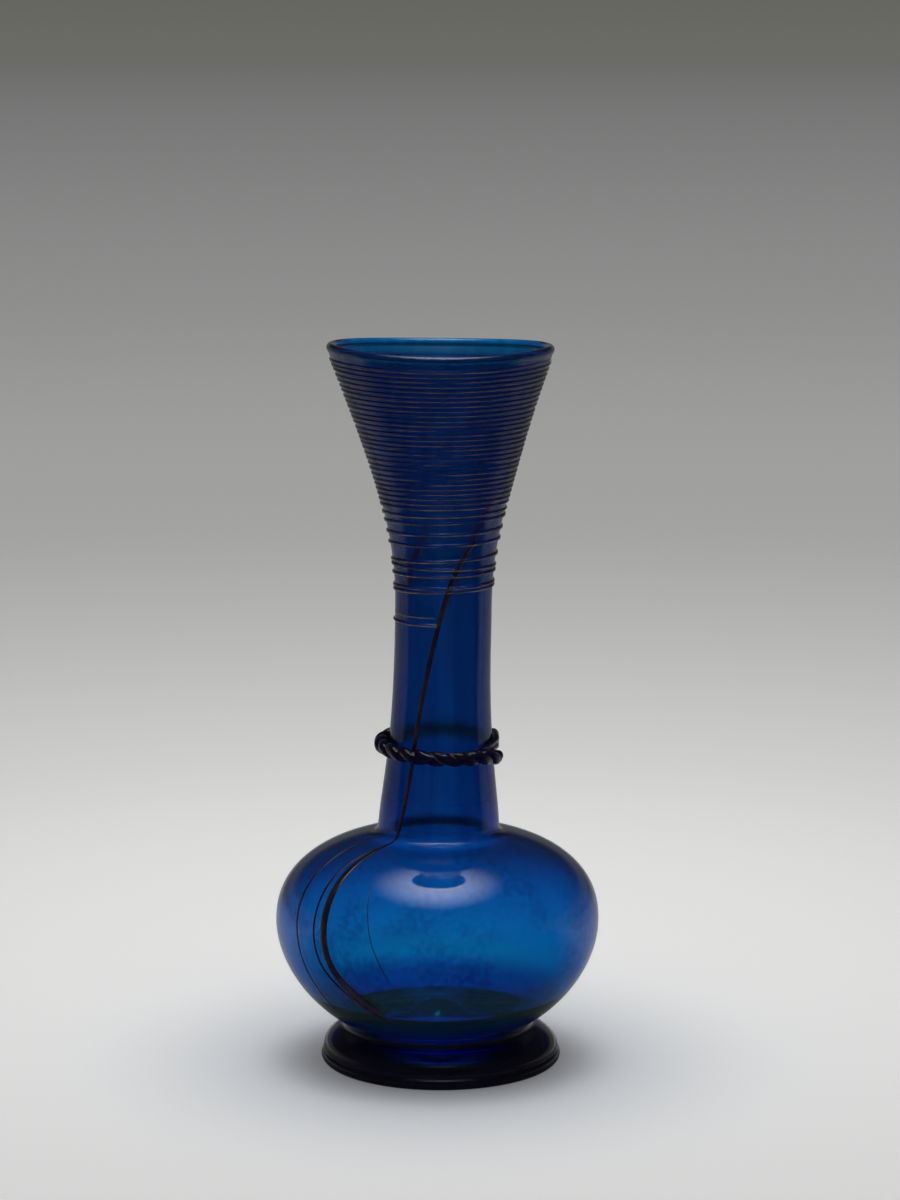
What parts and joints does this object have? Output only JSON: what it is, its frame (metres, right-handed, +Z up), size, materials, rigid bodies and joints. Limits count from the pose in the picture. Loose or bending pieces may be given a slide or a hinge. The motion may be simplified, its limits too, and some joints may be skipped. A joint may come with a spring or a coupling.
{
  "type": "glass bottle",
  "caption": "Blown blue glass bottle: round body on a low applied foot, tall neck opening into a thread-wound funnel mouth, and a twisted glass collar.",
  "frame": {"origin": "on the table, under the middle of the round body", "axes": "+Z up along the neck, -Y towards the front, where the lowest bit of thread breaks off, +X towards the side where the collar's ends overlap"},
  "size_m": [0.112, 0.112, 0.2502],
  "materials": {
    "cobalt_glass": "transparent, fire-polished, slightly weathered",
    "dark_cobalt_glass": "nearly black in the thickness it has, glossy, with brown weathering in its grooves"
  },
  "bodies": {
    "root": {"vessel": "cobalt_glass", "foot": "cobalt_glass", "twisted_collar": "dark_cobalt_glass", "wound_thread": "dark_cobalt_glass", "thread_end": "dark_cobalt_glass"}
  },
  "joints": []
}
